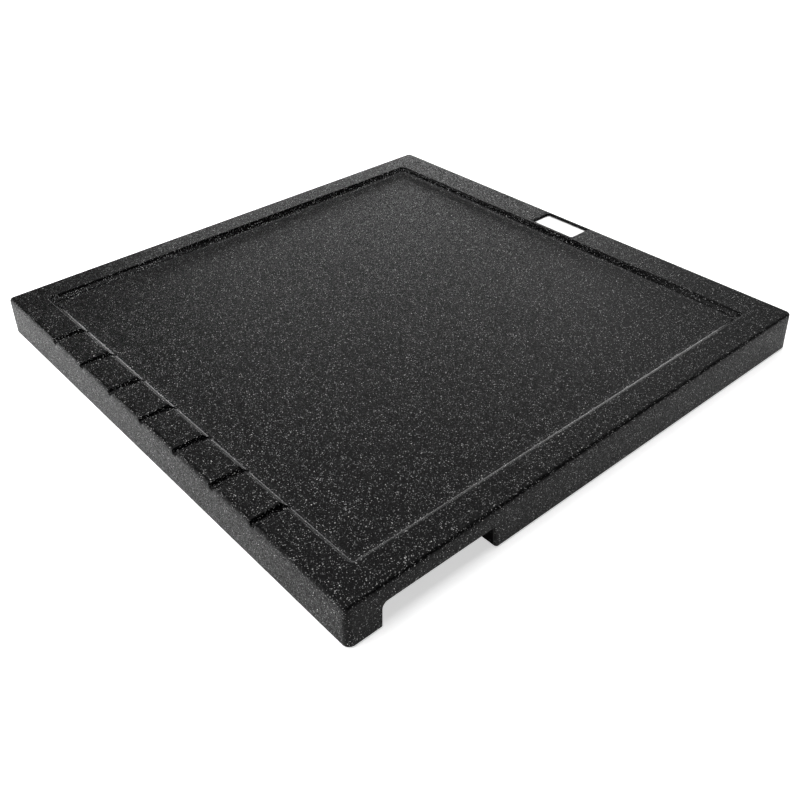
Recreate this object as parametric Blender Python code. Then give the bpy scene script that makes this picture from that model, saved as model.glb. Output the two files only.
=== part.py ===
"""Moulded composite draining slab for the worktop beside a sink.

The slab is one casting: a shallow tray whose floor falls towards a row of outlet channels, an
outlet lip that hangs over the bowl, and an underside that is open where it bridges the sink's rim.
A metal badge is bonded into its own pocket in the rim, and pads in sockets carry the slab.

The outlet side faces -X.  Z = 0 is the worktop, and X = Y = 0 is the middle of the footprint.
"""
import bpy
import bmesh
from math import cos, pi, radians, sin, tan
from mathutils import Vector

MM = 0.001

# ---- The slab's outside ---------------------------------------------------------------------
SLAB_X = 429.0 * MM               # footprint, from the outlet face to the badge's face
SLAB_Y = 434.0 * MM               # footprint, along the outlet face
SLAB_HEIGHT = 30.2 * MM           # from the underside to the rim's top
SIDE_DRAFT = radians(2.0)         # the sides lean in towards the top, as they leave the mould
PLAN_CORNER_RADIUS = 5.0 * MM     # the footprint's corners
RIM_EDGE_RADIUS = 2.5 * MM        # between the rim's top and the sides
FOOT_CHAMFER = 0.5 * MM           # along the bottom edge

# ---- The tray's recess ----------------------------------------------------------------------
RIM_OUTLET = 22.0 * MM            # flat rim widths, from the virtual top edge to the recess
RIM_NEAR = 22.0 * MM
RIM_FAR = 21.0 * MM
DEPTH_AT_OUTLET = 4.4 * MM        # the floor falls from the badge's side to the outlet side
DEPTH_AT_BADGE = 3.7 * MM
RECESS_CORNER_RADIUS = 5.0 * MM
RECESS_LIP_RADIUS = 1.2 * MM      # where the rim turns down into the recess
COVE_RUN = 8.0 * MM               # how far the concave foot of the wall reaches over the floor
COVE_POWER = 3                    # a steep wall that eases into a long foot

# ---- The outlet channels --------------------------------------------------------------------
CHANNEL_COUNT = 7
CHANNEL_PITCH = 43.4 * MM
CHANNEL_WIDTH = 9.4 * MM
CHANNEL_SILL = 1.0 * MM           # the channels' bottom stays this far above the floor

# ---- The underside --------------------------------------------------------------------------
LIP_WIDTH = 23.9 * MM             # the solid bar under the outlet side, at its foot
RELIEF_WIDTH = 88.0 * MM          # the way through for the sink's rim, at the underside
RELIEF_HEIGHT = 17.0 * MM
RELIEF_DRAFT = radians(4.5)       # the relief narrows upwards on both sides
RELIEF_ROOT_RADIUS = 4.0 * MM     # between the lip and the relief's ceiling
RELIEF_END_RADIUS = 2.0 * MM      # the body's corners where the relief runs out
BORDER_WIDTH = 16.0 * MM          # solid border round the cored pockets
RIB_WIDTH = 8.0 * MM
POCKET_COLUMNS = 7
POCKET_ROWS = 4
POCKET_HEIGHT = 16.3 * MM
POCKET_DRAFT = radians(3.0)
POCKET_CORNER_RADIUS = 4.0 * MM

# ---- The pads -------------------------------------------------------------------------------
PAD_RADIUS = 5.0 * MM
PAD_THICKNESS = 2.2 * MM
PAD_STAND = 1.0 * MM              # how far the pads hold the slab off the worktop
PAD_EDGE = 0.3 * MM
PAD_INSET = 8.0 * MM              # from the slab's bottom edge to a pad's middle

# ---- The badge ------------------------------------------------------------------------------
BADGE_X = 21.4 * MM
BADGE_Y = 44.8 * MM
BADGE_THICKNESS = 0.8 * MM
BADGE_EDGE = 0.15 * MM
BADGE_CORNER_RADIUS = 1.8 * MM
BADGE_BELOW_RIM = 2.0 * MM        # from the rim's top down to the badge's face
BADGE_TO_EDGE = 3.0 * MM          # from the badge's pocket to the rim's virtual outer edge
BADGE_TO_RECESS = 2.4 * MM        # and to the recess on its other side
ADHESIVE_THICKNESS = 0.4 * MM
ADHESIVE_MARGIN = 1.5 * MM        # the film stays this far inside the badge's outline

# ---- Clearances -----------------------------------------------------------------------------
FIT_GAP = 0.3 * MM                # between pieces that touch
OVERCUT = 3.0 * MM                # how far a cutter reaches past the face it cuts

# ---- Facets ---------------------------------------------------------------------------------
CORNER_STEPS = 5
EDGE_STEPS = 4
COVE_STEPS = 6
CHANNEL_SIDES = 40
PAD_SIDES = 28

# ---- Levels and outlines that follow --------------------------------------------------------
UNDERSIDE = PAD_STAND
RIM_TOP = UNDERSIDE + SLAB_HEIGHT
TOP_INSET = SLAB_HEIGHT * tan(SIDE_DRAFT)
RIM_BADGE = BADGE_TO_EDGE + BADGE_X + 2 * FIT_GAP + BADGE_TO_RECESS
CHANNEL_DEPTH = DEPTH_AT_OUTLET - CHANNEL_SILL
RECESS_X0 = -SLAB_X / 2 + TOP_INSET + RIM_OUTLET
RECESS_X1 = SLAB_X / 2 - TOP_INSET - RIM_BADGE
RECESS_Y0 = -SLAB_Y / 2 + TOP_INSET + RIM_NEAR
RECESS_Y1 = SLAB_Y / 2 - TOP_INSET - RIM_FAR
RELIEF_X0 = -SLAB_X / 2 + LIP_WIDTH
RELIEF_X1 = RELIEF_X0 + RELIEF_WIDTH


def clear_scene():
    for old in list(bpy.data.objects):
        bpy.data.objects.remove(old, do_unlink=True)


def make_material(name, color, roughness, metallic=0.0):
    material = bpy.data.materials.new(name)
    material.use_nodes = True
    shader = material.node_tree.nodes["Principled BSDF"]
    shader.inputs["Base Color"].default_value = (*color, 1.0)
    shader.inputs["Roughness"].default_value = roughness
    shader.inputs["Metallic"].default_value = metallic
    return material


def add_object(name, mesh, material=None, sharp_angle=radians(35)):
    made = bpy.data.objects.new(name, mesh)
    bpy.context.scene.collection.objects.link(made)
    if material and not mesh.materials:
        mesh.materials.append(material)
    mesh.shade_smooth()
    mesh.set_sharp_from_angle(angle=sharp_angle)
    return made


def add_cutter(target, name, mesh):
    """Cut the target with a mesh that is itself left out of the model."""
    cutter = bpy.data.objects.new(name, mesh)
    bpy.context.scene.collection.objects.link(cutter)
    cutter.hide_render = True
    cutter.display_type = "WIRE"
    cut = target.modifiers.new(name, "BOOLEAN")
    cut.operation = "DIFFERENCE"
    cut.solver = "EXACT"
    cut.object = cutter
    return cutter


def rounded_rectangle(x0, x1, y0, y1, radius, level, steps=CORNER_STEPS):
    """A counter-clockwise loop; level is a height, or a function that gives the height at x."""
    height = level if callable(level) else lambda x: level
    corners = (
        (x1 - radius, y0 + radius, -pi / 2),
        (x1 - radius, y1 - radius, 0.0),
        (x0 + radius, y1 - radius, pi / 2),
        (x0 + radius, y0 + radius, pi),
    )
    loop = []
    for middle_x, middle_y, start in corners:
        for step in range(steps + 1):
            angle = start + step * pi / 2 / steps
            x = middle_x + radius * cos(angle)
            loop.append(Vector((x, middle_y + radius * sin(angle), height(x))))
    return loop


def circle(middle_x, middle_y, radius, level, sides):
    return [
        Vector((
            middle_x + radius * cos(2 * pi * side / sides),
            middle_y + radius * sin(2 * pi * side / sides),
            level,
        ))
        for side in range(sides)
    ]


def loft(bm, loops):
    """Join loops of equal length into one closed skin with flat ends."""
    rows = [[bm.verts.new(point) for point in loop] for loop in loops]
    count = len(rows[0])
    for lower, upper in zip(rows, rows[1:]):
        for here in range(count):
            there = (here + 1) % count
            bm.faces.new((lower[here], lower[there], upper[there], upper[here]))
    bm.faces.new(tuple(reversed(rows[0])))
    bm.faces.new(tuple(rows[-1]))


def mesh_from(name, build):
    """Run a builder on an empty bmesh and return the mesh, with its faces pointing outwards."""
    bm = bmesh.new()
    build(bm)
    bmesh.ops.recalc_face_normals(bm, faces=bm.faces)
    mesh = bpy.data.meshes.new(name)
    bm.to_mesh(mesh)
    bm.free()
    return mesh


# ---- The slab -------------------------------------------------------------------------------
def outside_loop(inset, level):
    return rounded_rectangle(
        -SLAB_X / 2 + inset, SLAB_X / 2 - inset, -SLAB_Y / 2 + inset, SLAB_Y / 2 - inset,
        PLAN_CORNER_RADIUS - inset, level,
    )


def recess_depth(x):
    """The floor's depth below the rim falls evenly from the badge's side to the outlet side."""
    share = (x - RECESS_X0) / (RECESS_X1 - RECESS_X0)
    return DEPTH_AT_OUTLET + (DEPTH_AT_BADGE - DEPTH_AT_OUTLET) * share


def recess_loop(run, lip_drop, cove_share):
    """A loop of the recess's wall, run metres in from where the flat rim ends."""
    def level(x):
        return RIM_TOP - lip_drop - (recess_depth(x) - RECESS_LIP_RADIUS) * cove_share

    return rounded_rectangle(
        RECESS_X0 + run, RECESS_X1 - run, RECESS_Y0 + run, RECESS_Y1 - run,
        RECESS_CORNER_RADIUS, level,
    )


def slab_loops():
    shoulder = RIM_TOP - RIM_EDGE_RADIUS
    loops = [outside_loop(FOOT_CHAMFER, UNDERSIDE), outside_loop(0.0, UNDERSIDE + FOOT_CHAMFER)]
    for step in range(EDGE_STEPS + 1):
        angle = step * pi / 2 / EDGE_STEPS
        inset = TOP_INSET + RIM_EDGE_RADIUS * (1 - cos(angle))
        loops.append(outside_loop(inset, shoulder + RIM_EDGE_RADIUS * sin(angle)))
    for step in range(EDGE_STEPS + 1):
        angle = step * pi / 2 / EDGE_STEPS
        run = RECESS_LIP_RADIUS * sin(angle)
        loops.append(recess_loop(run, RECESS_LIP_RADIUS * (1 - cos(angle)), 0.0))
    for step in range(1, COVE_STEPS + 1):
        share = step / COVE_STEPS
        run = RECESS_LIP_RADIUS + COVE_RUN * share
        loops.append(recess_loop(run, RECESS_LIP_RADIUS, 1 - (1 - share) ** COVE_POWER))
    return loops


def slab_blank(bm):
    loft(bm, slab_loops())


def channel_cutter(bm):
    """Round-nosed grooves from inside the recess out through the outlet face."""
    radius = (CHANNEL_WIDTH ** 2 / 4 + CHANNEL_DEPTH ** 2) / (2 * CHANNEL_DEPTH)
    axis_level = RIM_TOP - CHANNEL_DEPTH + radius
    ends = (-SLAB_X / 2 - OVERCUT, RECESS_X0 + RECESS_LIP_RADIUS + COVE_RUN)
    half_turn = pi / CHANNEL_SIDES
    for index in range(CHANNEL_COUNT):
        middle_y = (index - (CHANNEL_COUNT - 1) / 2) * CHANNEL_PITCH
        loft(bm, [
            [
                Vector((
                    x,
                    middle_y + radius * sin(2 * side * half_turn),
                    axis_level - radius * cos(2 * side * half_turn),
                ))
                for side in range(CHANNEL_SIDES)
            ]
            for x in ends
        ])


def relief_section(y, flare):
    """The relief's outline at y: square at its end, rounded where the lip meets the ceiling."""
    def lean(level):
        return (level - UNDERSIDE) * tan(RELIEF_DRAFT)

    mouth = UNDERSIDE - OVERCUT
    ceiling = UNDERSIDE + RELIEF_HEIGHT
    section = [Vector((RELIEF_X0 + lean(mouth), y, mouth))]
    for level in (mouth, ceiling):
        section.append(Vector((RELIEF_X1 + flare - lean(level), y, level)))
    for step in range(CORNER_STEPS + 1):
        angle = pi / 2 + step * pi / 2 / CORNER_STEPS
        level = ceiling - RELIEF_ROOT_RADIUS * (1 - sin(angle))
        x = RELIEF_X0 + lean(level) + RELIEF_ROOT_RADIUS * (1 + cos(angle))
        section.append(Vector((x, y, level)))
    return section


def relief_cutter(bm):
    """The way through for the sink's rim, which widens as it leaves the body at both faces."""
    face = SLAB_Y / 2
    near_half = [(-face - OVERCUT, RELIEF_END_RADIUS)]
    for step in range(CORNER_STEPS + 1):
        angle = pi / 2 - step * pi / 2 / CORNER_STEPS
        y = -face + RELIEF_END_RADIUS * (1 - sin(angle))
        near_half.append((y, RELIEF_END_RADIUS * (1 - cos(angle))))
    far_half = [(-y, flare) for y, flare in reversed(near_half)]
    loft(bm, [relief_section(y, flare) for y, flare in near_half + far_half])


def pocket_cutter(bm):
    """Cored pockets between the ribs, which keep the casting's wall even and its weight down."""
    x0 = RELIEF_X1 + BORDER_WIDTH
    x1 = SLAB_X / 2 - BORDER_WIDTH
    y0 = -SLAB_Y / 2 + BORDER_WIDTH
    y1 = SLAB_Y / 2 - BORDER_WIDTH
    size_x = (x1 - x0 - (POCKET_COLUMNS - 1) * RIB_WIDTH) / POCKET_COLUMNS
    size_y = (y1 - y0 - (POCKET_ROWS - 1) * RIB_WIDTH) / POCKET_ROWS
    for column in range(POCKET_COLUMNS):
        for row in range(POCKET_ROWS):
            left = x0 + column * (size_x + RIB_WIDTH)
            near = y0 + row * (size_y + RIB_WIDTH)
            loops = []
            for height in (-OVERCUT, POCKET_HEIGHT):
                lean = height * tan(POCKET_DRAFT)
                loops.append(rounded_rectangle(
                    left + lean, left + size_x - lean, near + lean, near + size_y - lean,
                    POCKET_CORNER_RADIUS - lean, UNDERSIDE + height, steps=2,
                ))
            loft(bm, loops)


def pad_places():
    """The pads' middles: three along each of the near and far sides."""
    lip = -SLAB_X / 2 + LIP_WIDTH / 2
    body_start = RELIEF_X1 + PAD_INSET
    body_end = SLAB_X / 2 - PAD_INSET
    side = SLAB_Y / 2 - PAD_INSET
    return [(x, y) for x in (lip, body_start, body_end) for y in (-side, side)]


def socket_cutter(bm):
    socket_depth = PAD_THICKNESS - PAD_STAND + FIT_GAP
    for x, y in pad_places():
        loft(bm, [
            circle(x, y, PAD_RADIUS + FIT_GAP, UNDERSIDE + height, PAD_SIDES)
            for height in (-OVERCUT, socket_depth)
        ])


# ---- The badge and its seat -----------------------------------------------------------------
BADGE_POCKET_X1 = SLAB_X / 2 - TOP_INSET - BADGE_TO_EDGE
BADGE_CENTRE_X = BADGE_POCKET_X1 - FIT_GAP - BADGE_X / 2
BADGE_TOP = RIM_TOP - BADGE_BELOW_RIM
BADGE_UNDERSIDE = BADGE_TOP - BADGE_THICKNESS
ADHESIVE_UNDERSIDE = BADGE_UNDERSIDE - FIT_GAP - ADHESIVE_THICKNESS
BADGE_SEAT = ADHESIVE_UNDERSIDE - FIT_GAP


def badge_loop(outset, level):
    return rounded_rectangle(
        BADGE_CENTRE_X - BADGE_X / 2 - outset, BADGE_CENTRE_X + BADGE_X / 2 + outset,
        -BADGE_Y / 2 - outset, BADGE_Y / 2 + outset,
        BADGE_CORNER_RADIUS + outset, level,
    )


def badge_pocket_cutter(bm):
    loft(bm, [badge_loop(FIT_GAP, level) for level in (BADGE_SEAT, RIM_TOP + OVERCUT)])


def badge_plate(bm):
    loft(bm, [
        badge_loop(0.0, BADGE_UNDERSIDE),
        badge_loop(0.0, BADGE_TOP - BADGE_EDGE),
        badge_loop(-BADGE_EDGE, BADGE_TOP),
    ])


def badge_adhesive(bm):
    loft(bm, [
        badge_loop(-ADHESIVE_MARGIN, ADHESIVE_UNDERSIDE + height)
        for height in (0.0, ADHESIVE_THICKNESS)
    ])


def grip_pad(bm):
    """One pad about its own axis, standing on Z = 0."""
    loft(bm, [
        circle(0.0, 0.0, PAD_RADIUS - PAD_EDGE, 0.0, PAD_SIDES),
        circle(0.0, 0.0, PAD_RADIUS, PAD_EDGE, PAD_SIDES),
        circle(0.0, 0.0, PAD_RADIUS, PAD_THICKNESS, PAD_SIDES),
    ])


def make_slab():
    stone = make_material("speckled_composite", (0.022, 0.022, 0.023), 0.55)
    slab = add_object("draining_slab", mesh_from("draining_slab", slab_blank), stone)
    add_cutter(slab, "cut_channels", mesh_from("cut_channels", channel_cutter))
    add_cutter(slab, "cut_relief", mesh_from("cut_relief", relief_cutter))
    add_cutter(slab, "cut_pockets", mesh_from("cut_pockets", pocket_cutter))
    add_cutter(slab, "cut_pad_sockets", mesh_from("cut_pad_sockets", socket_cutter))
    add_cutter(slab, "cut_badge_pocket", mesh_from("cut_badge_pocket", badge_pocket_cutter))
    return slab


def make_badge():
    steel = make_material("brushed_badge_metal", (0.80, 0.80, 0.79), 0.30, metallic=1.0)
    film = make_material("badge_adhesive_film", (0.78, 0.77, 0.72), 0.60)
    add_object("badge_plate", mesh_from("badge_plate", badge_plate), steel)
    add_object("badge_adhesive", mesh_from("badge_adhesive", badge_adhesive), film)


def make_pads():
    silicone = make_material("grip_pad_silicone", (0.10, 0.10, 0.10), 0.70)
    pad_mesh = mesh_from("grip_pad", grip_pad)
    for index, (x, y) in enumerate(pad_places(), start=1):
        pad = add_object(f"grip_pad_{index}", pad_mesh, silicone)
        pad.location = (x, y, 0.0)


clear_scene()
make_slab()
make_badge()
make_pads()
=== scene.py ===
"""Moulded composite draining slab that stands beside a sink: the visible model round its frame.

The casting's shape follows one rule, which a geometry tree applies to a blank: a recess with a lip
and a coved foot, outlet channels through one rim, and a rounded outer edge.  The underside is then
cut open where it bridges the sink's rim, and cored between ribs.  Sizes are in metres, Z is up, and
the outlet side faces -X.
"""
from math import ceil, cos, pi, radians, sin, tan

import bmesh
import bpy
from mathutils import Matrix, Vector


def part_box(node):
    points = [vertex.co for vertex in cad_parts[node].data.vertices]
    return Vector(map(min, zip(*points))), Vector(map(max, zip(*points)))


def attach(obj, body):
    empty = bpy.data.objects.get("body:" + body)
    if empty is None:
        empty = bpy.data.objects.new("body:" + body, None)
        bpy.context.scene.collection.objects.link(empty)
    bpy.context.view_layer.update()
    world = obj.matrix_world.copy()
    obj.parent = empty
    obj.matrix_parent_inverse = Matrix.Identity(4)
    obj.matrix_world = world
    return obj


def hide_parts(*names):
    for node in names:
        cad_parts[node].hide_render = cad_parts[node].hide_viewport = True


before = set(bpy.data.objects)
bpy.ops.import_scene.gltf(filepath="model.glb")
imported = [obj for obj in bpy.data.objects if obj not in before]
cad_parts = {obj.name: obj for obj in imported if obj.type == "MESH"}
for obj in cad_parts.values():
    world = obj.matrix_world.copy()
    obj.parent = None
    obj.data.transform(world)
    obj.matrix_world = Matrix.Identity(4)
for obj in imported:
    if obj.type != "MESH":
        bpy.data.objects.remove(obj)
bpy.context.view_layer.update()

MM = 0.001

# ---- Sizes that come from the frame ------------------------------------------------------------
SLAB_LOW, SLAB_HIGH = (Vector(corner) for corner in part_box("draining_slab"))
BADGE_LOW, BADGE_HIGH = (Vector(corner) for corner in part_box("badge_plate"))
PAD_NODES = [f"grip_pad_{number}" for number in range(1, 7)]
PAD_BOXES = [[Vector(corner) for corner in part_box(node)] for node in PAD_NODES]

SLAB_HALF_X = (SLAB_HIGH.x - SLAB_LOW.x) / 2
SLAB_HALF_Y = (SLAB_HIGH.y - SLAB_LOW.y) / 2
UNDERSIDE = SLAB_LOW.z
RIM_TOP = SLAB_HIGH.z

# ---- The casting's own sizes -------------------------------------------------------------------
SIDE_DRAFT = radians(2.0)
TOP_INSET = (RIM_TOP - UNDERSIDE) * tan(SIDE_DRAFT)
PLAN_CORNER_RADIUS = 5.0 * MM
RIM_EDGE_RADIUS = 2.5 * MM
FOOT_CHAMFER = 0.5 * MM
FIT_GAP = 0.3 * MM

RIM_OUTLET = 22.0 * MM
RIM_NEAR = 22.0 * MM
RIM_FAR = 21.0 * MM
BADGE_TO_RECESS = 2.4 * MM
DEPTH_AT_OUTLET = 4.4 * MM
DEPTH_AT_BADGE = 3.7 * MM
RECESS_CORNER_RADIUS = 5.0 * MM
RECESS_LIP_RADIUS = 1.2 * MM
COVE_RUN = 8.0 * MM
COVE_POWER = 3.0                  # a steep wall that eases into a long foot

CHANNEL_COUNT = 7
CHANNEL_PITCH = 43.4 * MM
CHANNEL_WIDTH = 9.4 * MM
CHANNEL_DEPTH = 3.4 * MM
CHANNEL_LIP_RADIUS = 2.4 * MM
BLOCK_LIP_RADIUS = 1.3 * MM
CHANNEL_REACH = 14.0 * MM         # how far a channel's bed runs on under the recess's foot
BED_FALL_START = -12.0 * MM       # where a bed starts and stops falling, from the recess's edge
BED_FALL_END = 6.0 * MM
MOUTH_STEP = 0.05 * MM            # from the end of a bed down to the recess's floor
OUTLET_EDGE_RADIUS = 0.8 * MM
BLOCK_CORNER_RADIUS = 2.0 * MM

LIP_WIDTH = 23.9 * MM
RELIEF_WIDTH = 88.0 * MM
RELIEF_HEIGHT = 17.0 * MM
RELIEF_DRAFT = radians(4.5)
RELIEF_ROOT_RADIUS = 4.0 * MM
RELIEF_END_RADIUS = 2.0 * MM
BORDER_WIDTH = 16.0 * MM
RIB_WIDTH = 8.0 * MM
POCKET_COLUMNS = 7
POCKET_ROWS = 4
POCKET_HEIGHT = 16.3 * MM
POCKET_DRAFT = radians(3.0)
POCKET_CORNER_RADIUS = 4.0 * MM
POCKET_ROOF_RADIUS = 1.5 * MM

PAD_RADIUS = (PAD_BOXES[0][1].x - PAD_BOXES[0][0].x) / 2
PAD_THICKNESS = PAD_BOXES[0][1].z - PAD_BOXES[0][0].z
BADGE_CORNER_RADIUS = 1.8 * MM
BADGE_SEAT_DROP = 1.0 * MM        # from the badge's back to the pocket's floor

TOP_HALF_X = SLAB_HALF_X - TOP_INSET
TOP_HALF_Y = SLAB_HALF_Y - TOP_INSET
TOP_CORNER_RADIUS = PLAN_CORNER_RADIUS - TOP_INSET
RECESS_X0 = -TOP_HALF_X + RIM_OUTLET
RECESS_X1 = BADGE_LOW.x - FIT_GAP - BADGE_TO_RECESS
RECESS_Y0 = -TOP_HALF_Y + RIM_NEAR
RECESS_Y1 = TOP_HALF_Y - RIM_FAR
RELIEF_X0 = -SLAB_HALF_X + LIP_WIDTH
RELIEF_X1 = RELIEF_X0 + RELIEF_WIDTH


# ---- Sums on sockets ---------------------------------------------------------------------------
def feed(tree, socket, term):
    """Link a value to a socket, or set the socket to a plain number, colour or vector."""
    if isinstance(term, Value):
        tree.links.new(term.socket, socket)
    else:
        socket.default_value = term


class Value:
    """A socket that takes part in Python sums; plain numbers join in as they are."""

    def __init__(self, tree, socket):
        self.tree = tree
        self.socket = socket

    def _sum(self, operation, *terms):
        node = self.tree.nodes.new("ShaderNodeMath")
        node.operation = operation
        for socket, term in zip(node.inputs, terms):
            feed(self.tree, socket, term)
        return Value(self.tree, node.outputs[0])

    def __add__(self, other):
        return self._sum("ADD", self, other)

    def __sub__(self, other):
        return self._sum("SUBTRACT", self, other)

    def __rsub__(self, other):
        return self._sum("SUBTRACT", other, self)

    def __mul__(self, other):
        return self._sum("MULTIPLY", self, other)

    def __truediv__(self, other):
        return self._sum("DIVIDE", self, other)

    def __pow__(self, other):
        return self._sum("POWER", self, other)

    def __abs__(self):
        return self._sum("ABSOLUTE", self)

    __radd__ = __add__
    __rmul__ = __mul__

    def root(self):
        return self._sum("SQRT", self)

    def nearest(self):
        return self._sum("ROUND", self)

    def wrapped(self):
        """What is left over after the whole numbers."""
        return self._sum("FRACT", self)

    def least(self, other):
        return self._sum("MINIMUM", self, other)

    def most(self, other):
        return self._sum("MAXIMUM", self, other)

    def above(self, other):
        return self._sum("GREATER_THAN", self, other)

    def share(self):
        """Held between 0 and 1."""
        return self.most(0.0).least(1.0)

    def eased(self, start, end):
        """0 before start, 1 after end, and smooth between them."""
        share = ((self - start) / (end - start)).share()
        return share * share * (3.0 - 2.0 * share)


class Shop:
    """Makes the nodes of one tree."""

    def __init__(self, tree):
        self.tree = tree

    def node(self, kind, settings=None, inputs=None):
        """One node: its settings first, then what its sockets take."""
        made = self.tree.nodes.new(kind)
        for name, setting in (settings or {}).items():
            setattr(made, name, setting)
        for name, term in (inputs or {}).items():
            feed(self.tree, made.inputs[name], term)
        return made

    def value(self, kind, settings=None, inputs=None, output=0):
        """The same, for a node whose one output is wanted."""
        return Value(self.tree, self.node(kind, settings, inputs).outputs[output])

    def split(self, vector):
        parts = self.node("ShaderNodeSeparateXYZ", inputs={"Vector": vector})
        return [Value(self.tree, socket) for socket in parts.outputs]

    def split_color(self, color):
        parts = self.node("ShaderNodeSeparateColor", inputs={"Color": color})
        return [Value(self.tree, socket) for socket in parts.outputs[:3]]

    def mix_colors(self, factor, first, second):
        return self.value(
            "ShaderNodeMix", {"data_type": "RGBA"}, {0: factor, 6: first, 7: second}, output=2
        )


# ---- Plain meshes ------------------------------------------------------------------------------
def link(name, mesh):
    made = bpy.data.objects.new(name, mesh)
    bpy.context.scene.collection.objects.link(made)
    return made


def rounded_rectangle(x0, x1, y0, y1, radius, level, steps):
    corners = (
        (x1 - radius, y0 + radius, -pi / 2),
        (x1 - radius, y1 - radius, 0.0),
        (x0 + radius, y1 - radius, pi / 2),
        (x0 + radius, y0 + radius, pi),
    )
    return [
        Vector((
            middle_x + radius * cos(start + step * pi / 2 / steps),
            middle_y + radius * sin(start + step * pi / 2 / steps),
            level,
        ))
        for middle_x, middle_y, start in corners
        for step in range(steps + 1)
    ]


def circle(radius, level, sides):
    return [
        Vector((radius * cos(2 * pi * side / sides), radius * sin(2 * pi * side / sides), level))
        for side in range(sides)
    ]


def lofted(name, loops):
    """A closed skin through loops of equal length."""
    bm = bmesh.new()
    rows = [[bm.verts.new(point) for point in loop] for loop in loops]
    count = len(rows[0])
    for lower, upper in zip(rows, rows[1:]):
        for here in range(count):
            there = (here + 1) % count
            bm.faces.new((lower[here], lower[there], upper[there], upper[here]))
    bm.faces.new(tuple(reversed(rows[0])))
    bm.faces.new(tuple(rows[-1]))
    bmesh.ops.recalc_face_normals(bm, faces=bm.faces)
    mesh = bpy.data.meshes.new(name)
    bm.to_mesh(mesh)
    bm.free()
    return mesh


def quarter(steps, radius=1.0):
    """(run, drop) along a quarter circle that starts level and ends upright."""
    return [
        (radius * sin(step * pi / 2 / steps), radius * (1 - cos(step * pi / 2 / steps)))
        for step in range(steps + 1)
    ]


# ---- The casting's blank -----------------------------------------------------------------------
EDGE_STEPS = 8
WALL_STEPS = 10
WIDEST_STEP = 12.0 * MM
NARROWEST_STEP = 0.07 * MM
RUNS_BEFORE_WALL = (-2.0, -1.6, -1.2, -0.8, -0.5, -0.25)
RUNS_AFTER_WALL = (0.6, 1.6)
BELOW_SHOULDER = 4.5 * MM         # rows of the sides that hold their flat between the rounds
ABOVE_FOOT = 1.0 * MM


def edge_runs():
    """Places of the blank's lines, in from the outer edge."""
    rounding = [
        RIM_EDGE_RADIUS * (1 - cos(step * pi / 2 / EDGE_STEPS)) for step in range(EDGE_STEPS + 1)
    ]
    return rounding + [(RIM_EDGE_RADIUS + TOP_CORNER_RADIUS) / 2, TOP_CORNER_RADIUS]


def wall_runs(lip_radius, cove_run, limit):
    """Places of the blank's lines across a wall, from the flat rim down to the floor."""
    runs = [run * MM for run in RUNS_BEFORE_WALL]
    runs += [run for run, _ in quarter(WALL_STEPS // 2, lip_radius)]
    runs += [lip_radius + drop for _, drop in quarter(WALL_STEPS, cove_run)][1:]
    runs += [lip_radius + cove_run + run * MM for run in RUNS_AFTER_WALL]
    return [run for run in runs if run < limit]


def filled(lines):
    """The lines in order, with wide spaces filled evenly and doubled lines left out."""
    kept = []
    for line in sorted(lines):
        if not kept or line - kept[-1] > NARROWEST_STEP:
            kept.append(line)
    result = [kept[0]]
    for line in kept[1:]:
        count = ceil((line - result[-1]) / WIDEST_STEP)
        start = result[-1]
        result += [start + (line - start) * step / count for step in range(1, count + 1)]
    return result


def channel_middles():
    return [(index - (CHANNEL_COUNT - 1) / 2) * CHANNEL_PITCH for index in range(CHANNEL_COUNT)]


def lines_along_x():
    recess_runs = wall_runs(RECESS_LIP_RADIUS, COVE_RUN, 1.0)
    lines = [side * (TOP_HALF_X - run) for run in edge_runs() for side in (-1, 1)]
    lines += [RECESS_X0 + run for run in recess_runs] + [RECESS_X1 - run for run in recess_runs]
    return filled(lines)


def lines_along_y():
    recess_runs = wall_runs(RECESS_LIP_RADIUS, COVE_RUN, 1.0)
    half_width = CHANNEL_WIDTH / 2
    lines = [side * (TOP_HALF_Y - run) for run in edge_runs() for side in (-1, 1)]
    lines += [RECESS_Y0 + run for run in recess_runs] + [RECESS_Y1 - run for run in recess_runs]
    for middle in channel_middles():
        for run in wall_runs(CHANNEL_LIP_RADIUS, half_width - CHANNEL_LIP_RADIUS, half_width):
            lines += [middle - half_width + run, middle + half_width - run]
        lines.append(middle)
    return filled(lines)


def onto_outline(x, y):
    """Bend the square corners of the blank's lines into the outline's round ones."""
    middle_x = TOP_HALF_X - TOP_CORNER_RADIUS
    middle_y = TOP_HALF_Y - TOP_CORNER_RADIUS
    across = (abs(x) - middle_x) / TOP_CORNER_RADIUS
    along = (abs(y) - middle_y) / TOP_CORNER_RADIUS
    if across <= 0 or along <= 0:
        return x, y
    reach = TOP_CORNER_RADIUS * max(across, along)
    turn = pi / 4 * along / across if across >= along else pi / 2 - pi / 4 * across / along
    side_x = 1 if x > 0 else -1
    side_y = 1 if y > 0 else -1
    return side_x * (middle_x + reach * cos(turn)), side_y * (middle_y + reach * sin(turn))


def outward(x, y):
    """The direction away from the slab at a place on its outline."""
    over_x = max(abs(x) - (TOP_HALF_X - TOP_CORNER_RADIUS), 0.0) * (1 if x > 0 else -1)
    over_y = max(abs(y) - (TOP_HALF_Y - TOP_CORNER_RADIUS), 0.0) * (1 if y > 0 else -1)
    return Vector((over_x, over_y)).normalized()


def side_rows():
    """(level, shift outwards) of each row of the sides below the rounded edge."""
    shoulder = RIM_TOP - RIM_EDGE_RADIUS
    foot = UNDERSIDE + FOOT_CHAMFER
    rows = []
    for level in (shoulder - BELOW_SHOULDER, foot + ABOVE_FOOT, foot):
        rows.append((level, TOP_INSET * (shoulder - level) / (shoulder - foot)))
    for run, drop in quarter(3, FOOT_CHAMFER)[1:]:
        rows.append((foot - run, TOP_INSET - drop))
    return rows


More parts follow.
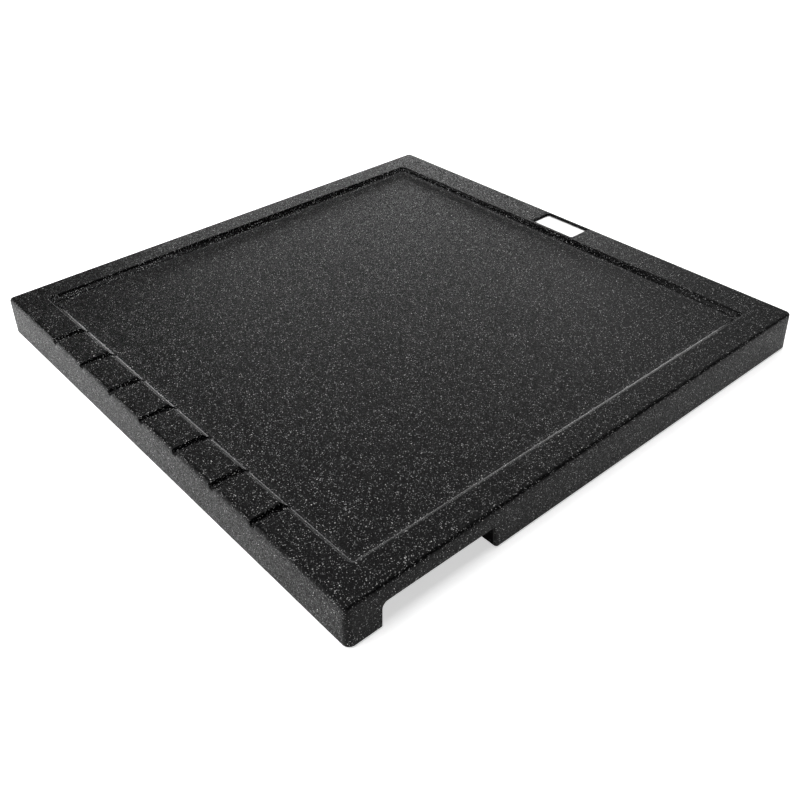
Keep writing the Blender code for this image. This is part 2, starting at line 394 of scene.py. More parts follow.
def slab_blank():
    """A flat-topped block whose lines lie close together wherever the casting is curved."""
    xs, ys = lines_along_x(), lines_along_y()
    bm = bmesh.new()
    on_top = bm.verts.layers.float.new("on_top")
    sheet = []
    for x in xs:
        column = []
        for y in ys:
            vert = bm.verts.new((*onto_outline(x, y), RIM_TOP))
            vert[on_top] = 1.0
            column.append(vert)
        sheet.append(column)
    for left, right in zip(sheet, sheet[1:]):
        for near in range(len(ys) - 1):
            bm.faces.new((left[near], right[near], right[near + 1], left[near + 1]))
    ring = [column[0] for column in sheet] + sheet[-1][1:]
    ring += [column[-1] for column in reversed(sheet[:-1])] + list(reversed(sheet[0][1:-1]))
    upper = ring
    for level, shift in side_rows():
        lower = []
        for vert in ring:
            move = outward(vert.co.x, vert.co.y) * shift
            lower.append(bm.verts.new((vert.co.x + move.x, vert.co.y + move.y, level)))
        for here in range(len(ring)):
            there = (here + 1) % len(ring)
            bm.faces.new((lower[here], lower[there], upper[there], upper[here]))
        upper = lower
    bm.faces.new(tuple(reversed(upper)))
    bmesh.ops.recalc_face_normals(bm, faces=bm.faces)
    mesh = bpy.data.meshes.new("slab_blank")
    bm.to_mesh(mesh)
    bm.free()
    return mesh


# ---- Tools that cut the casting ----------------------------------------------------------------
OVERCUT = 3.0 * MM
ROUND_STEPS = 8
SOCKET_EASE = 0.3 * MM
SOCKET_SIDES = 64
BADGE_POCKET_EASE = 0.35 * MM


def relief_tool():
    """The way through for the sink's rim, with eased edges at the underside."""
    def lean(level):
        return (level - UNDERSIDE) * tan(RELIEF_DRAFT)

    def section(y, flare):
        ceiling = UNDERSIDE + RELIEF_HEIGHT
        ease = [
            (UNDERSIDE - OVERCUT, FOOT_CHAMFER), (UNDERSIDE, FOOT_CHAMFER),
            (UNDERSIDE + FOOT_CHAMFER, 0.0),
        ]
        points = [Vector((RELIEF_X0 + lean(level) - out, y, level)) for level, out in reversed(ease)]
        points += [Vector((RELIEF_X1 + flare - lean(level) + out, y, level)) for level, out in ease]
        points.append(Vector((RELIEF_X1 + flare - lean(ceiling), y, ceiling)))
        for run, drop in quarter(ROUND_STEPS, RELIEF_ROOT_RADIUS):
            level = ceiling - drop
            points.append(Vector((RELIEF_X0 + lean(level) + RELIEF_ROOT_RADIUS - run, y, level)))
        return points

    face = SLAB_HALF_Y
    near_half = [-face - OVERCUT]
    near_half += [-face + RELIEF_END_RADIUS - run for run, _ in quarter(ROUND_STEPS, RELIEF_END_RADIUS)]
    flares = []
    for y in sorted(near_half):
        run = min(max(-face + RELIEF_END_RADIUS - y, 0.0), RELIEF_END_RADIUS)
        flares.append((y, RELIEF_END_RADIUS - (RELIEF_END_RADIUS ** 2 - run ** 2) ** 0.5))
    flares += [(-y, flare) for y, flare in reversed(flares)]
    return lofted("relief_tool", [section(y, flare) for y, flare in flares])


def pocket_sizes():
    """(first corner, size of one pocket) of the cored field, at the underside."""
    start = Vector((RELIEF_X1 + BORDER_WIDTH, -SLAB_HALF_Y + BORDER_WIDTH))
    end = Vector((SLAB_HALF_X - BORDER_WIDTH, SLAB_HALF_Y - BORDER_WIDTH))
    size = Vector((
        (end.x - start.x - (POCKET_COLUMNS - 1) * RIB_WIDTH) / POCKET_COLUMNS,
        (end.y - start.y - (POCKET_ROWS - 1) * RIB_WIDTH) / POCKET_ROWS,
    ))
    return start, size


def pocket_tool():
    """One cored pocket about its own middle, drafted, with a rounded roof."""
    _, size = pocket_sizes()
    rows = [(-OVERCUT, -FOOT_CHAMFER), (0.0, -FOOT_CHAMFER), (FOOT_CHAMFER, 0.0)]
    spring = POCKET_HEIGHT - POCKET_ROOF_RADIUS
    rows += [(spring + run, drop) for run, drop in quarter(ROUND_STEPS // 2, POCKET_ROOF_RADIUS)]
    loops = []
    for height, inset in rows:
        lean = inset + height * tan(POCKET_DRAFT)
        loops.append(rounded_rectangle(
            -size.x / 2 + lean, size.x / 2 - lean, -size.y / 2 + lean, size.y / 2 - lean,
            POCKET_CORNER_RADIUS - lean, UNDERSIDE + height, ROUND_STEPS // 2,
        ))
    return lofted("pocket_tool", loops)


def socket_tool():
    """One pad's socket about its own middle."""
    bore = PAD_RADIUS + FIT_GAP
    rows = [
        (UNDERSIDE - OVERCUT, bore + SOCKET_EASE), (UNDERSIDE, bore + SOCKET_EASE),
        (UNDERSIDE + SOCKET_EASE, bore), (PAD_THICKNESS + FIT_GAP, bore),
    ]
    return lofted("socket_tool", [circle(radius, level, SOCKET_SIDES) for level, radius in rows])


def badge_outline(outset, level):
    return rounded_rectangle(
        BADGE_LOW.x - outset, BADGE_HIGH.x + outset, BADGE_LOW.y - outset, BADGE_HIGH.y + outset,
        BADGE_CORNER_RADIUS + outset, level, ROUND_STEPS,
    )


def badge_pocket_tool():
    """The badge's pocket, with a small round where it breaks through the rim."""
    ease = BADGE_POCKET_EASE
    rows = [(BADGE_LOW.z - BADGE_SEAT_DROP, 0.0), (RIM_TOP - ease, 0.0)]
    rows += [(RIM_TOP - ease + run, drop) for run, drop in quarter(4, ease)[1:]]
    rows.append((RIM_TOP + OVERCUT, ease))
    return lofted("badge_pocket_tool", [badge_outline(FIT_GAP + out, level) for level, out in rows])


# ---- The casting -------------------------------------------------------------------------------
def outside_by(x, y, half_x, half_y, radius):
    """How far a place is outside a rounded rectangle; inside, the answer is below zero."""
    over_x = abs(x) - (half_x - radius)
    over_y = abs(y) - (half_y - radius)
    beyond_x, beyond_y = over_x.most(0.0), over_y.most(0.0)
    return (beyond_x * beyond_x + beyond_y * beyond_y).root() + over_x.most(over_y).least(0.0) - radius


def joined_round(first, second, radius):
    """Two openings as one, with the corner between them rounded."""
    bite_1, bite_2 = (radius - first).most(0.0), (radius - second).most(0.0)
    return first.least(second).most(radius) - (bite_1 * bite_1 + bite_2 * bite_2).root()


def rounded_drop(run, radius):
    """How far a quarter round has dropped; run is measured back from its upright end."""
    reach = (radius - run).most(0.0).least(radius)
    return radius - (radius * radius - reach * reach).root()


def steep_wall(left_over):
    """How much of a wall's drop is done when so much of its run is left: a quarter round."""
    return (1.0 - left_over * left_over).root()


def long_foot(left_over):
    return 1.0 - left_over ** COVE_POWER


def even_trough(left_over):
    return 1.0 - left_over * left_over


def wall_drop(inside, lip, run, full, profile):
    """The drop inside an outline: a rounded lip, then a wall down to the full depth."""
    reach = inside.most(0.0).least(lip)
    rounded = lip - (lip * lip - reach * reach).root()
    left_over = 1.0 - ((inside - lip) / run).share()
    return rounded + (full - lip) * profile(left_over)


CASTING_SIZES = {
    "Rim Top": RIM_TOP,
    "Top Half X": TOP_HALF_X,
    "Top Half Y": TOP_HALF_Y,
    "Top Corner Radius": TOP_CORNER_RADIUS,
    "Rim Edge Radius": RIM_EDGE_RADIUS,
    "Recess X0": RECESS_X0,
    "Recess X1": RECESS_X1,
    "Recess Y0": RECESS_Y0,
    "Recess Y1": RECESS_Y1,
    "Recess Corner Radius": RECESS_CORNER_RADIUS,
    "Lip Radius": RECESS_LIP_RADIUS,
    "Cove Run": COVE_RUN,
    "Depth at Outlet": DEPTH_AT_OUTLET,
    "Depth at Badge": DEPTH_AT_BADGE,
    "Channel Pitch": CHANNEL_PITCH,
    "Channel Width": CHANNEL_WIDTH,
    "Channel Depth": CHANNEL_DEPTH,
    "Channel Lip Radius": CHANNEL_LIP_RADIUS,
    "Channel Reach": CHANNEL_REACH,
    "Last Channel": (CHANNEL_COUNT - 1) / 2,
    "Block Corner Radius": BLOCK_CORNER_RADIUS,
    "Block Lip Radius": BLOCK_LIP_RADIUS,
    "Outlet Edge Radius": OUTLET_EDGE_RADIUS,
    "Side Draft": tan(SIDE_DRAFT),
}


def new_tree(name, sizes, objects=()):
    """A geometry tree with named inputs; returns it with its shop and its inputs as values."""
    tree = bpy.data.node_groups.new(name, "GeometryNodeTree")
    tree.interface.new_socket("Geometry", in_out="INPUT", socket_type="NodeSocketGeometry")
    for size in sizes:
        tree.interface.new_socket(size, in_out="INPUT", socket_type="NodeSocketFloat")
    for label in objects:
        tree.interface.new_socket(label, in_out="INPUT", socket_type="NodeSocketObject")
    tree.interface.new_socket("Material", in_out="INPUT", socket_type="NodeSocketMaterial")
    tree.interface.new_socket("Geometry", in_out="OUTPUT", socket_type="NodeSocketGeometry")
    entry = tree.nodes.new("NodeGroupInput")
    values = {socket.name: Value(tree, socket) for socket in entry.outputs if socket.name}
    return tree, Shop(tree), values


def close_tree(tree, shop, geometry, material):
    """End the tree with real geometry in one material."""
    real = shop.value("GeometryNodeRealizeInstances", inputs={"Geometry": geometry})
    painted = shop.value("GeometryNodeSetMaterial", inputs={"Geometry": real, "Material": material})
    exit_node = tree.nodes.new("NodeGroupOutput")
    tree.links.new(painted.socket, exit_node.inputs[0])


def made_by(tree, start, name, settings):
    """Run a tree on a start mesh and return its result as a plain object at the origin."""
    carrier = link("carrier", start)
    modifier = carrier.modifiers.new("rule", "NODES")
    modifier.node_group = tree
    names = {item.name: item.identifier for item in tree.interface.items_tree if item.in_out == "INPUT"}
    for label, setting in settings.items():
        modifier[names[label]] = setting
    bpy.context.view_layer.update()
    evaluated = carrier.evaluated_get(bpy.context.evaluated_depsgraph_get())
    mesh = bpy.data.meshes.new_from_object(evaluated)
    mesh.name = name
    bpy.data.objects.remove(carrier, do_unlink=True)
    return link(name, mesh)


BLEND = 3.0                       # how closely the rounded edge and a channel's end run together
EDGE_BAND = 0.05 * MM             # what counts as the outline itself
OUTLET_SETS_IN = 1.0 * MM         # the depth at which the outlet's edge has its whole round
POLISH_STARTS = 0.15 * MM         # below the rim, and above the floor
POLISH_ENDS = 0.35 * MM


def top_level(shop, size, x, y):
    """The casting's rule: its top's level at a place in plan, its slide along X, and its polish."""
    middle_x = (size["Recess X0"] + size["Recess X1"]) * 0.5
    middle_y = (size["Recess Y0"] + size["Recess Y1"]) * 0.5
    recess = outside_by(
        x - middle_x, y - middle_y,
        (size["Recess X1"] - size["Recess X0"]) * 0.5, (size["Recess Y1"] - size["Recess Y0"]) * 0.5,
        size["Recess Corner Radius"],
    )
    last = size["Last Channel"]
    number = (y / size["Channel Pitch"]).nearest().least(last).most(last * -1.0)
    channel = abs(y - number * size["Channel Pitch"]) - size["Channel Width"] * 0.5
    channel = channel.most(x - size["Recess X0"] - size["Channel Reach"])
    inside = joined_round(recess, channel, size["Block Corner Radius"]) * -1.0

    length = size["Recess X1"] - size["Recess X0"]
    fall = (size["Depth at Badge"] - size["Depth at Outlet"]) / length
    floor = size["Depth at Outlet"] + fall * (x - size["Recess X0"]).most(0.0)
    bed_fall = size["Depth at Outlet"] - MOUTH_STEP - size["Channel Depth"]
    bed = size["Channel Depth"] + bed_fall * (x - size["Recess X0"]).eased(BED_FALL_START, BED_FALL_END)
    half_width = size["Channel Width"] * 0.5

    lip = size["Channel Lip Radius"]
    trough = wall_drop(channel * -1.0, lip, half_width - lip, bed, even_trough)
    tray = wall_drop(recess * -1.0, size["Lip Radius"], size["Cove Run"], floor, long_foot)
    corner = size["Block Lip Radius"]
    brink = wall_drop(inside, corner, half_width - corner, floor, steep_wall)
    depth = brink.least(trough.most(tray))

    edge = outside_by(
        x, y, size["Top Half X"], size["Top Half Y"], size["Top Corner Radius"]
    ) * -1.0
    edge_drop = rounded_drop(edge, size["Rim Edge Radius"])
    outlet_drop = rounded_drop(edge, size["Outlet Edge Radius"]) * (depth / OUTLET_SETS_IN).share()
    drop = (edge_drop ** BLEND + (depth + outlet_drop) ** BLEND) ** (1.0 / BLEND)
    on_edge = (EDGE_BAND - edge).above(0.0)
    slide = (drop - size["Rim Edge Radius"]).most(0.0) * size["Side Draft"] * on_edge
    polish = (depth / POLISH_STARTS).share() * ((floor - depth) / POLISH_ENDS).share()
    return size["Rim Top"] - drop, slide, polish


def casting_tree():
    tools = ("Relief Tool", "Badge Pocket Tool", "Pocket Tool", "Socket Tool", "Pad Places")
    tree, shop, size = new_tree(
        "Draining slab casting",
        [*CASTING_SIZES, "Pocket Columns", "Pocket Rows", "Field X", "Field Y", "Field Middle X"],
        tools,
    )
    position = shop.value("GeometryNodeInputPosition")
    x, y, _ = shop.split(position)
    level, slide, polish = top_level(shop, size, x, y)
    place = shop.value("ShaderNodeCombineXYZ", inputs={"X": x - slide, "Y": y, "Z": level})
    on_top = shop.value("GeometryNodeInputNamedAttribute", {"data_type": "FLOAT"}, {"Name": "on_top"})
    marked = shop.value("GeometryNodeStoreNamedAttribute", {"data_type": "FLOAT", "domain": "POINT"}, {
        "Geometry": size["Geometry"], "Selection": on_top.above(0.5), "Name": "burnish", "Value": polish,
    })
    top = shop.value("GeometryNodeSetPosition", inputs={
        "Geometry": marked, "Selection": on_top.above(0.5), "Position": place,
    })

    def tool(label):
        return shop.value("GeometryNodeObjectInfo", inputs={"Object": size[label]}, output="Geometry")

    field = shop.value("GeometryNodeMeshGrid", inputs={
        "Size X": size["Field X"], "Size Y": size["Field Y"],
        "Vertices X": size["Pocket Columns"], "Vertices Y": size["Pocket Rows"],
    })
    middle = shop.value("ShaderNodeCombineXYZ", inputs={"X": size["Field Middle X"]})
    field = shop.value("GeometryNodeTransform", inputs={"Geometry": field, "Translation": middle})
    pockets = shop.value("GeometryNodeInstanceOnPoints", inputs={
        "Points": field, "Instance": tool("Pocket Tool"),
    })
    sockets = shop.value("GeometryNodeInstanceOnPoints", inputs={
        "Points": tool("Pad Places"), "Instance": tool("Socket Tool"),
    })
    cut = top
    for cutter in (tool("Relief Tool"), tool("Badge Pocket Tool"), pockets, sockets):
        solid = shop.value("GeometryNodeRealizeInstances", inputs={"Geometry": cutter})
        cut = shop.value(
            "GeometryNodeMeshBoolean", {"operation": "DIFFERENCE", "solver": "EXACT"},
            {"Mesh 1": cut, "Mesh 2": solid},
        )
    close_tree(tree, shop, cut, size["Material"])
    return tree


def points_mesh(name, points):
    mesh = bpy.data.meshes.new(name)
    mesh.from_pydata([tuple(point) for point in points], [], [])
    return mesh


def pad_middles():
    return [Vector(((low.x + high.x) / 2, (low.y + high.y) / 2, 0.0)) for low, high in PAD_BOXES]


CASTING_SHARP_FROM = radians(32)


def make_casting(material):
    """The casting: the rule's top on the blank, then every opening cut from it in one tree."""
    start, size = pocket_sizes()
    field = Vector((
        (POCKET_COLUMNS - 1) * (size.x + RIB_WIDTH), (POCKET_ROWS - 1) * (size.y + RIB_WIDTH),
    ))
    tools = {
        "Relief Tool": link("relief_tool", relief_tool()),
        "Badge Pocket Tool": link("badge_pocket_tool", badge_pocket_tool()),
        "Pocket Tool": link("pocket_tool", pocket_tool()),
        "Socket Tool": link("socket_tool", socket_tool()),
        "Pad Places": link("pad_places", points_mesh("pad_places", pad_middles())),
    }
    slab = made_by(casting_tree(), slab_blank(), "slab_casting", {
        **CASTING_SIZES, **tools,
        "Pocket Columns": float(POCKET_COLUMNS), "Pocket Rows": float(POCKET_ROWS),
        "Field X": field.x, "Field Y": field.y,
        "Field Middle X": start.x + size.x / 2 + field.x / 2,
        "Material": material,
    })
    for tool in tools.values():
        bpy.data.objects.remove(tool, do_unlink=True)
    marker = slab.data.attributes.get("on_top")
    if marker:
        slab.data.attributes.remove(marker)
    slab.data.shade_smooth()
    slab.data.set_sharp_from_angle(angle=CASTING_SHARP_FROM)
    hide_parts("draining_slab")
    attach(slab, "root")
    return slab


# ---- Pads and badge ----------------------------------------------------------------------------
FITTING_SHARP_FROM = radians(40)
PAD_BEVEL = 0.2 * MM
PAD_EDGE_RADIUS = 0.45 * MM
PAD_SIDES = 48
TREAD_RINGS = 2
TREAD_INSET = 1.3 * MM
TREAD_PITCH = 1.4 * MM
TREAD_DEPTH = 0.22 * MM
TREAD_SHAPE = ((0.0, 0.0), (0.12 * MM, TREAD_DEPTH), (0.48 * MM, TREAD_DEPTH), (0.6 * MM, 0.0))
BADGE_ROLL = 0.3 * MM
BADGE_FLAT_INSET = 0.8 * MM
EDGE_ROUND_STEPS = 5


def pad_profile():
    """(radius, level) down the side of a pad and in under it, to the rings of its tread."""
    rows = [(PAD_RADIUS - PAD_BEVEL, PAD_THICKNESS), (PAD_RADIUS, PAD_THICKNESS - PAD_BEVEL)]
    rows += [
        (PAD_RADIUS - drop, PAD_EDGE_RADIUS - run)
        for run, drop in quarter(EDGE_ROUND_STEPS, PAD_EDGE_RADIUS)
    ]
    for ring in range(TREAD_RINGS):
        outer = PAD_RADIUS - TREAD_INSET - ring * TREAD_PITCH
        rows += [(outer - inset, level) for inset, level in TREAD_SHAPE]
    return rows


def pads_tree():
    tree, shop, size = new_tree("Grip pads", [], ("Pad",))
    pad = shop.value("GeometryNodeObjectInfo", inputs={"Object": size["Pad"]}, output="Geometry")
    pads = shop.value("GeometryNodeInstanceOnPoints", inputs={
        "Points": size["Geometry"], "Instance": pad,
    })
    close_tree(tree, shop, pads, size["Material"])
    return tree


def make_pads(material):
    loops = [circle(radius, level, PAD_SIDES) for radius, level in reversed(pad_profile())]
    pad = link("pad_pattern", lofted("pad_pattern", loops))
    pads = made_by(pads_tree(), points_mesh("pad_middles", pad_middles()), "grip_pads", {
        "Pad": pad, "Material": material,
    })
    bpy.data.objects.remove(pad, do_unlink=True)
    pads.data.shade_smooth()
    pads.data.set_sharp_from_angle(angle=FITTING_SHARP_FROM)
    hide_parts(*PAD_NODES)
    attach(pads, "root")
    return pads


def make_badge(material):
    """A blank plate with rolled edges."""
    roll = BADGE_ROLL
    rows = [(-roll / 3, BADGE_LOW.z), (0.0, BADGE_LOW.z + roll / 3)]
    rows += [(-drop, BADGE_HIGH.z - roll + run) for run, drop in quarter(EDGE_ROUND_STEPS, roll)]
    rows += [(-BADGE_FLAT_INSET, BADGE_HIGH.z)]
    plate = link("badge_face", lofted("badge_face", [badge_outline(out, level) for out, level in rows]))
    plate.data.materials.append(material)
    plate.data.shade_smooth()
    plate.data.set_sharp_from_angle(angle=FITTING_SHARP_FROM)
    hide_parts("badge_plate")
    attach(plate, "root")
    return plate


# ---- Finishes ----------------------------------------------------------------------------------
def new_finish(name):
    material = bpy.data.materials.new(name)
    material.use_nodes = True
    material.node_tree.nodes.clear()
    shop = Shop(material.node_tree)
    place = shop.value("ShaderNodeTexCoord", output="Object")
    return material, shop, place


def close_finish(shop, inputs):
    surface = shop.value("ShaderNodeBsdfPrincipled", inputs=inputs)
    shop.node("ShaderNodeOutputMaterial", inputs={"Surface": surface})


def noise(shop, place, scale, detail=2.0, roughness=0.5):
    return shop.value("ShaderNodeTexNoise", {"noise_dimensions": "3D"}, {
        "Vector": place, "Scale": scale, "Detail": detail, "Roughness": roughness,
    })


REDRAW = 13.7              # how far a draw is stretched before it is wrapped


def grains(shop, place, cells, share, size):
    """Grains in one out of so many cells of a metre: (how much of a grain is here, its lightness)."""
    cell = shop.node("ShaderNodeTexVoronoi", {"voronoi_dimensions": "3D", "feature": "F1"}, {
        "Vector": place, "Scale": cells, "Randomness": 1.0,
    })
    distance = Value(shop.tree, cell.outputs["Distance"])
    # A cell's colour is also its point's place in the cell, so each draw is stretched and wrapped.
    chosen, bulk, light = (
        (draw * REDRAW).wrapped() for draw in shop.split_color(Value(shop.tree, cell.outputs["Color"]))
    )
    radius = size * (0.55 + bulk * 0.75)
    here = ((radius - distance) / (size * 0.35)).share() * (share - chosen).above(0.0)
    return here, light


FINE_GRAINS = (1550.0, 0.50, 0.40)     # cells to a metre, share of them filled, grain's size in cells
MIDDLE_GRAINS = (1000.0, 0.22, 0.30)
LARGE_GRAINS = (560.0, 0.03, 0.22)
FACETS = 1300.0            # facets to a metre
FACET_TILT = 0.26          # how far the grains' faces lean out of the skin
SKIN_SPECULAR = 0.06
SHADED_UNDERSIDE_MARGIN = 2.3 * MM     # how far in from the outline the painted shade on the underside and its openings starts
PAINTED_SHADE_AMOUNT = 0.9           # how much of the painted shade, a dark closure without reflection, covers the underside and its openings


def speckled_composite():
    """Black acrylic resin filled with quartz: most grains are dark, and some are pale."""
    material, shop, place = new_finish("speckled_composite")
    fine, fine_light = grains(shop, place, *FINE_GRAINS)
    middle, middle_light = grains(shop, place, *MIDDLE_GRAINS)
    large, large_light = grains(shop, place, *LARGE_GRAINS)
    cloud = noise(shop, place, 22.0, 3.0)
    mottle = noise(shop, place, 900.0, 2.0)

    resin = shop.mix_colors(mottle, (0.0006, 0.0006, 0.0007, 1), (0.0018, 0.0018, 0.0019, 1))
    dim = shop.mix_colors(fine_light ** 3.0, (0.003, 0.003, 0.003, 1), (0.55, 0.55, 0.55, 1))
    pale = shop.mix_colors(middle_light ** 3.0, (0.012, 0.012, 0.012, 1), (0.80, 0.80, 0.79, 1))
    bright = shop.mix_colors(large_light, (0.08, 0.08, 0.08, 1), (0.50, 0.50, 0.49, 1))
    color = shop.mix_colors(fine, resin, dim)
    color = shop.mix_colors(middle, color, pale)
    color = shop.mix_colors(large, color, bright)

    burnish = shop.value("ShaderNodeAttribute", {"attribute_name": "burnish"}, output="Fac")
    roughness = (0.29 + cloud * 0.05 + mottle * 0.05 - large * 0.08) * (1.0 - burnish * 0.5)
    skin = noise(shop, place, 1500.0, 2.0)
    waves = noise(shop, place, 260.0, 1.0)
    relief = (skin * 0.55 + waves * 0.9 + middle * 0.25 + large * 0.35) * (1.0 - burnish * 0.7)
    normal = shop.value("ShaderNodeBump", inputs={
        "Strength": 0.45, "Distance": 0.12 * MM, "Height": relief,
    })
    facet = shop.value("ShaderNodeTexVoronoi", {"voronoi_dimensions": "3D", "feature": "F1"}, {
        "Vector": place, "Scale": FACETS, "Randomness": 1.0,
    }, output="Color")
    facet = shop.value("ShaderNodeVectorMath", {"operation": "SUBTRACT"}, {0: facet, 1: (0.5, 0.5, 0.5)})
    facet = shop.value("ShaderNodeVectorMath", {"operation": "SCALE"}, {
        0: facet, "Scale": FACET_TILT * (1.0 - burnish * 0.8),
    })
    normal = shop.value("ShaderNodeVectorMath", {"operation": "ADD"}, {0: normal, 1: facet})
    normal = shop.value("ShaderNodeVectorMath", {"operation": "NORMALIZE"}, {0: normal})
    x, y, z = shop.split(place)
    # Painted shade: below the relief's roof and inside the outline, the underside and its openings get a
    # dark resin closure with no reflection, standing in for the shade in them.
    painted_shade_mask = (SLAB_HALF_X - SHADED_UNDERSIDE_MARGIN - abs(x)).above(0.0)
    painted_shade_mask = painted_shade_mask * (SLAB_HALF_Y - SHADED_UNDERSIDE_MARGIN - abs(y)).above(0.0)
    painted_shade_mask = painted_shade_mask * (UNDERSIDE + RELIEF_HEIGHT + 0.5 * MM - z).above(0.0)
    skin_shader = shop.value("ShaderNodeBsdfPrincipled", inputs={
        "Base Color": color, "Roughness": roughness, "Normal": normal,
        "IOR": 1.5, "Specular IOR Level": SKIN_SPECULAR,
    })
    painted_shade_shader = shop.value("ShaderNodeBsdfPrincipled", inputs={
        "Base Color": resin, "Roughness": 0.8 + mottle * 0.15, "Normal": normal,
        "Specular IOR Level": 0.0,
    })
    surface = shop.value("ShaderNodeMixShader", inputs={
        0: painted_shade_mask * PAINTED_SHADE_AMOUNT, 1: skin_shader, 2: painted_shade_shader,
    })
    shop.node("ShaderNodeOutputMaterial", inputs={"Surface": surface})
    return material


BAR_HALF_WIDTH = 0.45 * MM
BAR_HALF_LENGTH = 9.0 * MM
BAR_SPACING = 2.0 * MM      # from the plate's middle line to a bar's


def brushed_steel():
    """Stainless plate brushed along its length, with two plain etched bars."""
    material, shop, place = new_finish("brushed_steel")
    stretched = shop.value("ShaderNodeMapping", inputs={"Vector": place, "Scale": (9000.0, 90.0, 400.0)})
    brush = shop.value("ShaderNodeTexNoise", {"noise_dimensions": "3D"}, {
        "Vector": stretched, "Scale": 1.0, "Detail": 2.0,
    })
    x, y, _ = shop.split(place)
    middle_x, middle_y = (BADGE_LOW.x + BADGE_HIGH.x) / 2, (BADGE_LOW.y + BADGE_HIGH.y) / 2
    bars = (BAR_HALF_WIDTH - abs(abs(x - middle_x) - BAR_SPACING)).above(0.0)
    etched = bars * (BAR_HALF_LENGTH - abs(y - middle_y)).above(0.0)
    steel = shop.mix_colors(brush, (0.80, 0.80, 0.79, 1), (0.93, 0.93, 0.92, 1))
    color = shop.mix_colors(etched * 0.55, steel, (0.42, 0.42, 0.42, 1))
    normal = shop.value("ShaderNodeBump", inputs={
        "Strength": 0.25, "Distance": 0.02 * MM, "Height": brush - etched * 0.6,
    })
    close_finish(shop, {
        "Base Color": color, "Metallic": 1.0, "Normal": normal,
        "Roughness": 0.26 + brush * 0.16 + etched * 0.2,
    })
    return material


def dark_silicone():
    material, shop, place = new_finish("dark_silicone")
    bloom = noise(shop, place, 420.0, 3.0)
    grain = noise(shop, place, 3200.0, 2.0)
    color = shop.mix_colors(bloom, (0.045, 0.045, 0.047, 1), (0.085, 0.085, 0.088, 1))
    normal = shop.value("ShaderNodeBump", inputs={
        "Strength": 0.4, "Distance": 0.05 * MM, "Height": grain,
    })
    close_finish(shop, {"Base Color": color, "Roughness": 0.62 + bloom * 0.2, "Normal": normal})
    return material


def bonding_film():
    material, shop, place = new_finish("bonding_film")
    cells = noise(shop, place, 1800.0, 3.0)
    color = shop.mix_colors(cells, (0.66, 0.65, 0.60, 1), (0.80, 0.79, 0.74, 1))
    normal = shop.value("ShaderNodeBump", inputs={
        "Strength": 0.5, "Distance": 0.05 * MM, "Height": cells,
    })
    close_finish(shop, {"Base Color": color, "Roughness": 0.55 + cells * 0.2, "Normal": normal})
    return material


# ---- Camera, light and floor -------------------------------------------------------------------
VIEW_AZIMUTH, VIEW_ELEVATION, VIEW_ROLL = -40.128, 36.645, -1.626
VIEW_PLACE = (-0.395258, -0.479954, 0.401671)
LENS = 41.982


def make_camera():
    """The view from above the near corner between the outlet side and the near side."""
    azimuth, elevation, roll = (radians(angle) for angle in (VIEW_AZIMUTH, VIEW_ELEVATION, VIEW_ROLL))
    back = Vector((sin(azimuth) * cos(elevation), -cos(azimuth) * cos(elevation), sin(elevation)))
    level_right = (-back).cross(Vector((0, 0, 1))).normalized()
    level_up = level_right.cross(-back)
    right = cos(roll) * level_right + sin(roll) * level_up
    up = cos(roll) * level_up - sin(roll) * level_right
    place = Vector(VIEW_PLACE)
    data = bpy.data.cameras.new("camera")
    data.sensor_width = 36.0
    data.lens = LENS
    data.clip_start = 0.02
    data.clip_end = 20.0
    camera = bpy.data.objects.new("camera", data)
    bpy.context.scene.collection.objects.link(camera)
    camera.matrix_world = Matrix((
        (right.x, up.x, back.x, place.x),
        (right.y, up.y, back.y, place.y),
        (right.z, up.z, back.z, place.z),
        (0, 0, 0, 1),
    ))
    bpy.context.scene.camera = camera


def soft_light(name, azimuth, elevation, distance, size_x, size_y, power):
    """A soft box that looks at the slab; azimuth 0 stands behind it, on +Y, and 90 on +X."""
    turn, rise = radians(azimuth), radians(elevation)
    place = Vector((sin(turn) * cos(rise), cos(turn) * cos(rise), sin(rise))) * distance
    data = bpy.data.lights.new(name, "AREA")
    data.shape = "RECTANGLE"
    data.size = size_x
    data.size_y = size_y
    data.energy = power
    lamp = bpy.data.objects.new(name, data)
    bpy.context.scene.collection.objects.link(lamp)
    lamp.location = place
    lamp.rotation_euler = (-place).to_track_quat("-Z", "Y").to_euler()
    return lamp


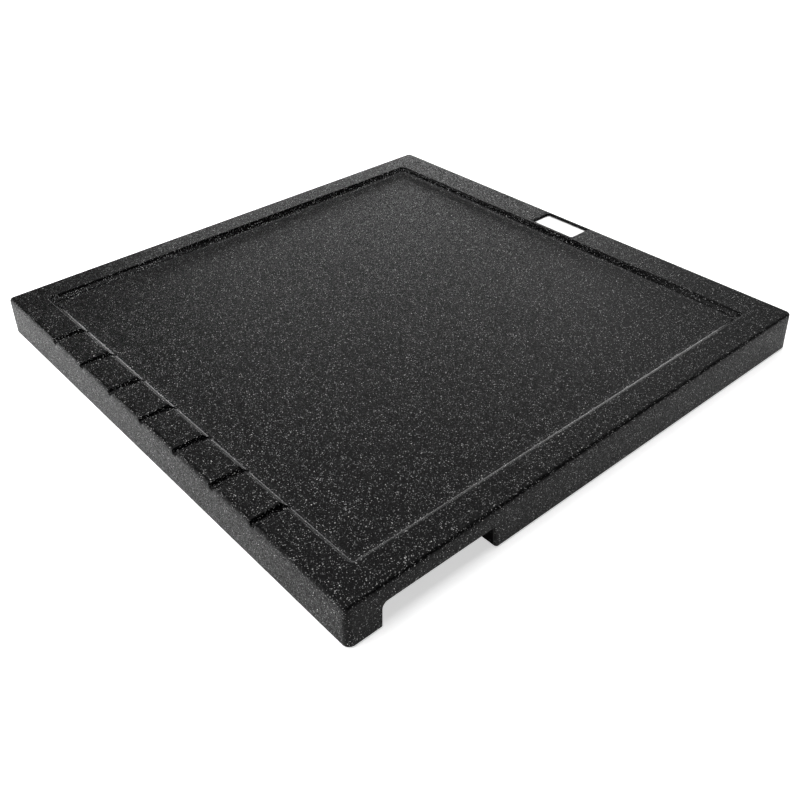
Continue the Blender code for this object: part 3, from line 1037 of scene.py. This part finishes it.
# Name, azimuth, elevation, distance, width, height, power.
LIGHTS = (
    ("low_backdrop", 40.0, 6.0, 1.6, 1.3, 0.30, 7.5),
    ("back_box", 40.0, 38.0, 1.6, 1.3, 0.50, 5.6),
    ("left_low", -45.0, 8.0, 1.6, 1.3, 0.40, 11.5),
    ("overhead", 0.0, 88.0, 1.6, 1.2, 1.2, 18.5),
    ("front_fill", 150.0, 45.0, 1.6, 1.6, 0.80, 0.3),
)
# Boxes that point straight down: name, place, width, length, power.
WASHES = (
    ("left_wash", (-0.50, 0.10, 0.35), 0.2, 0.6, 2.5),
    ("right_wash", (0.80, 0.00, 0.50), 0.5, 0.9, 2.6),
)
WORLD_STRENGTH = 0.03
FLOOR_HALF = 3.0
FLOOR_GLOW = 0.68           # keeps the paper white up to the slab's foot


def make_surroundings():
    for lamp in LIGHTS:
        soft_light(*lamp)
    for name, place, size_x, size_y, power in WASHES:
        wash = soft_light(name, 0.0, 90.0, 1.0, size_x, size_y, power)
        wash.location = place
        wash.rotation_euler = (0.0, 0.0, 0.0)
    world = bpy.data.worlds.new("studio")
    bpy.context.scene.world = world
    world.use_nodes = True
    background = world.node_tree.nodes["Background"]
    background.inputs["Color"].default_value = (1.0, 1.0, 1.0, 1.0)
    background.inputs["Strength"].default_value = WORLD_STRENGTH

    half = FLOOR_HALF
    corners = [(-half, -half, 0), (half, -half, 0), (half, half, 0), (-half, half, 0)]
    floor = bpy.data.meshes.new("floor")
    floor.from_pydata(corners, [], [(0, 1, 2, 3)])
    paper, shop, place = new_finish("white_paper")
    tooth = noise(shop, place, 40.0, 3.0)
    color = shop.mix_colors(tooth, (0.86, 0.86, 0.86, 1), (0.90, 0.90, 0.90, 1))
    close_finish(shop, {
        "Base Color": color, "Roughness": 0.9, "Specular IOR Level": 0.2,
        "Emission Color": color, "Emission Strength": FLOOR_GLOW,
    })
    floor.materials.append(paper)
    link("floor", floor)
    bpy.context.scene.view_settings.view_transform = "Standard"


make_camera()
make_casting(speckled_composite())
make_pads(dark_silicone())
make_badge(brushed_steel())
film_finish = bonding_film()
for film_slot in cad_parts["badge_adhesive"].material_slots:
    film_slot.material = film_finish
make_surroundings()
